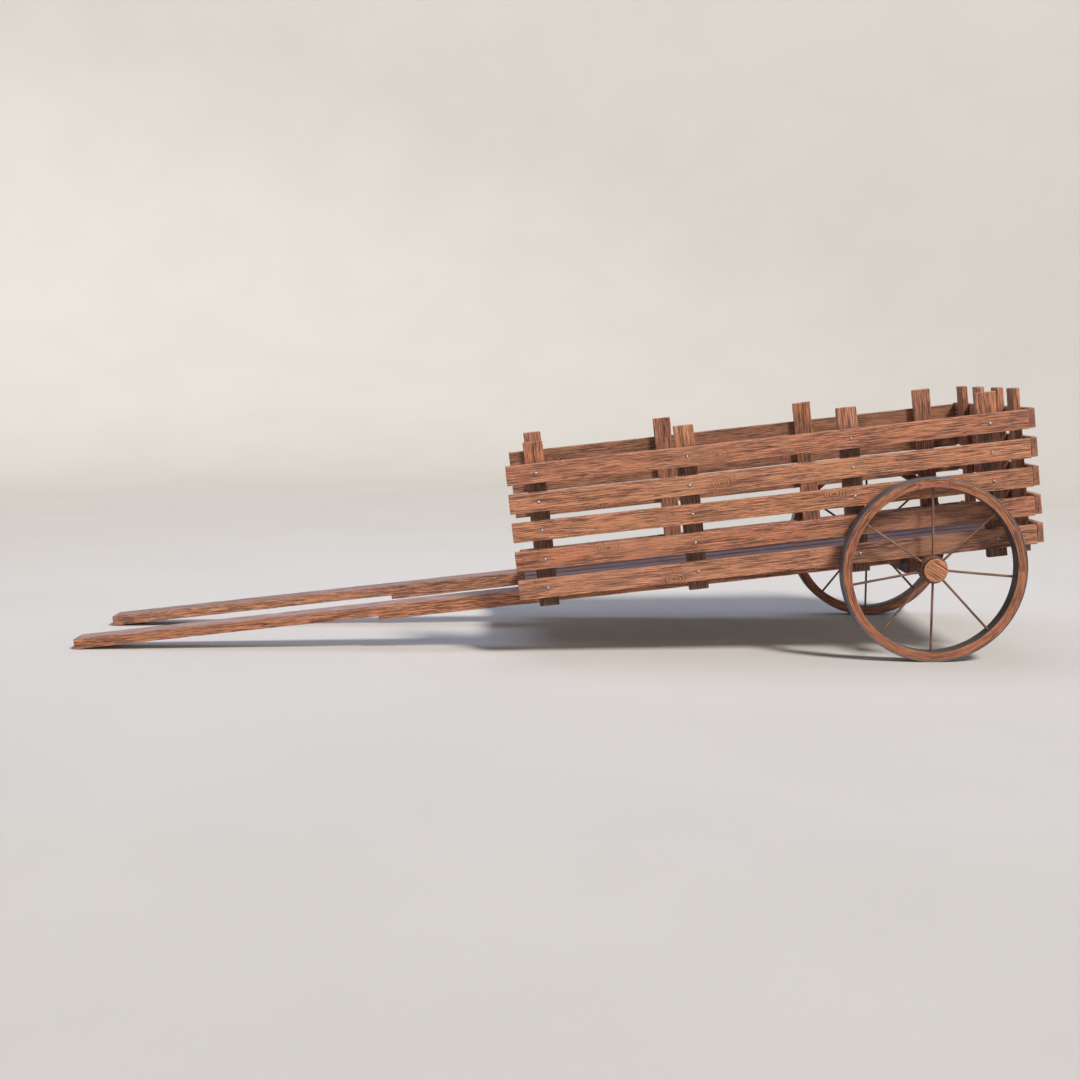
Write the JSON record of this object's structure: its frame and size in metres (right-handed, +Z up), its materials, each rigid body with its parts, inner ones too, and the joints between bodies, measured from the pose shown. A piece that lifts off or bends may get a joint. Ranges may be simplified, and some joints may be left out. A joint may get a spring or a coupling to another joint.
{
  "type": "slatted farm cart",
  "caption": "Wooden farm cart with slatted sides and tail, open front, plank floor, iron-tyred wheels with thin round spokes, and long flat shafts for pulling it.",
  "frame": {"origin": "centre of the plan outline, on the ground", "axes": "+X from the shaft tips to the tail, +Z up; -Y is the cart's left side. The cart stands on its wheels and its shaft tips, so its floor slopes down to the front by 6.35 degrees"},
  "size_m": [4.8304, 1.532, 1.3292],
  "materials": {
    "board_wood": "matt, weathered",
    "wheel_wood": "matt, weathered",
    "wrought_iron": "dull",
    "steel_nails": "satin"
  },
  "bodies": {
    "cart": {"axle_bearer": "board_wood", "axle_bed": "board_wood", "bearer_1": "board_wood", "bearer_2": "board_wood", "bearer_3": "board_wood", "bearer_4": "board_wood", "floor_nails": "steel_nails", "floor_plank_1": "board_wood", "floor_plank_2": "board_wood", "floor_plank_3": "board_wood", "floor_plank_4": "board_wood", "floor_plank_5": "board_wood", "floor_plank_6": "board_wood", "floor_plank_7": "board_wood", "floor_plank_8": "board_wood", "frame_spikes": "wrought_iron", "left_axle_arm": "wrought_iron", "left_shaft": "board_wood", "left_slat_1": "board_wood", "left_slat_2": "board_wood", "left_slat_3": "board_wood", "left_slat_4": "board_wood", "left_slat_5": "board_wood", "left_stake_1": "board_wood", "left_stake_2": "board_wood", "left_stake_3": "board_wood", "left_stake_4": "board_wood", "linchpins": "wrought_iron", "rear_slat_1": "board_wood", "rear_slat_2": "board_wood", "rear_slat_3": "board_wood", "rear_slat_4": "board_wood", "rear_slat_5": "board_wood", "rear_stake_1": "board_wood", "rear_stake_2": "board_wood", "rear_stake_3": "board_wood", "rear_stake_4": "board_wood", "right_axle_arm": "wrought_iron", "right_shaft": "board_wood", "right_slat_1": "board_wood", "right_slat_2": "board_wood", "right_slat_3": "board_wood", "right_slat_4": "board_wood", "right_slat_5": "board_wood", "right_stake_1": "board_wood", "right_stake_2": "board_wood", "right_stake_3": "board_wood", "right_stake_4": "board_wood", "slat_nails": "steel_nails", "tail_bearer": "board_wood"},
    "left_wheel": {"left_tyre": "wrought_iron", "left_rim": "wheel_wood", "left_spokes": "wheel_wood", "left_hub": "wheel_wood", "left_hub_cap": "wheel_wood"},
    "right_wheel": {"right_tyre": "wrought_iron", "right_rim": "wheel_wood", "right_spokes": "wheel_wood", "right_hub": "wheel_wood", "right_hub_cap": "wheel_wood"}
  },
  "joints": [
    {"name": "left_wheel_spin", "type": "hinge", "parent": "cart", "child": "left_wheel", "pos_m": [1.85693, -0.7095, 0.45], "axis": [0, 1, 0], "continuous": true},
    {"name": "right_wheel_spin", "type": "hinge", "parent": "cart", "child": "right_wheel", "pos_m": [1.85693, 0.7095, 0.45], "axis": [0, 1, 0], "continuous": true}
  ]
}
